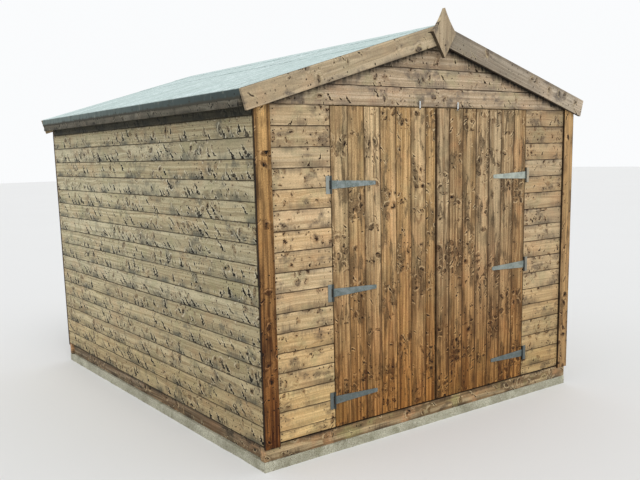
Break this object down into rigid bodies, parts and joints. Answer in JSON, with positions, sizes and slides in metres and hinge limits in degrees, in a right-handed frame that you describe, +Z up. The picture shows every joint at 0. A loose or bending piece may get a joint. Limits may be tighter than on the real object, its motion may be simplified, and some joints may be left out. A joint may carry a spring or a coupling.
{
  "type": "wooden garden shed",
  "caption": "Timber garden shed with shiplap walls, a felted pitched roof and a pair of outward-opening ledged doors on tee hinges in the gable end.",
  "frame": {"origin": "centre of the underside of the concrete base, on the ground", "axes": "+Z up; +X to the right along the front, seen from outside; the doors face -Y"},
  "size_m": [2.597, 3.041, 2.3728],
  "materials": {
    "concrete": "trowelled, weathered concrete",
    "floor_timber": "rough-sawn timber, brown treated, weathered",
    "deck_timber": "planed floor boards",
    "side_timber": "shiplap boards, greyed and mildewed",
    "front_timber": "shiplap boards, honey coloured, knotty",
    "door_timber": "tongued boards, warm brown, knotty",
    "trim_timber": "planed trim, orange brown",
    "gable_timber": "planed boards, pale straw",
    "frame_timber": "sawn framing timber",
    "roof_timber": "tongued roof boards",
    "eaves_timber": "weathered grey board",
    "roof_felt": "mineral-surfaced roofing felt, grey green",
    "galvanised_steel": "galvanised, dull blue grey"
  },
  "bodies": {
    "shed": {"concrete_base": "concrete", "floor_side_rims": "floor_timber", "floor_end_rims": "floor_timber", "floor_joists": "floor_timber", "floor_deck": "deck_timber", "right_wall_cladding": "side_timber", "right_wall_studs": "frame_timber", "right_wall_rails": "frame_timber", "left_wall_cladding": "side_timber", "left_wall_studs": "frame_timber", "left_wall_rails": "frame_timber", "back_wall_cladding": "side_timber", "back_wall_studs": "frame_timber", "back_wall_rails": "frame_timber", "front_right_cladding": "front_timber", "front_left_cladding": "front_timber", "front_gable_cladding": "front_timber", "front_wall_posts": "frame_timber", "front_wall_rails": "frame_timber", "door_stops": "frame_timber", "gable_rafters": "frame_timber", "back_corner_trims": "trim_timber", "front_corner_trims": "trim_timber", "roof_boards_right": "roof_timber", "roof_boards_left": "roof_timber", "roof_felt_right": "roof_felt", "roof_felt_left": "roof_felt", "roof_purlins": "frame_timber", "eaves_boards": "eaves_timber", "back_bargeboards": "gable_timber", "front_bargeboard_right": "gable_timber", "front_bargeboard_left": "gable_timber", "front_finial": "gable_timber", "right_hinge_plates": "galvanised_steel", "left_hinge_plates": "galvanised_steel"},
    "left_door": {"left_door_boards": "door_timber", "left_door_ledges": "frame_timber", "left_door_braces": "frame_timber", "left_hinge_straps": "galvanised_steel", "left_turn_button": "galvanised_steel"},
    "right_door": {"right_door_boards": "door_timber", "right_door_ledges": "frame_timber", "right_door_braces": "frame_timber", "right_hinge_straps": "galvanised_steel", "right_turn_button": "galvanised_steel"}
  },
  "joints": [
    {"name": "left_door_hinge", "type": "hinge", "parent": "shed", "child": "left_door", "pos_m": [-0.76775, -1.4828, 0], "axis": [0, 0, -1], "range_deg": [0, 160]},
    {"name": "right_door_hinge", "type": "hinge", "parent": "shed", "child": "right_door", "pos_m": [0.76775, -1.4828, 0], "axis": [0, 0, 1], "range_deg": [0, 160]}
  ]
}
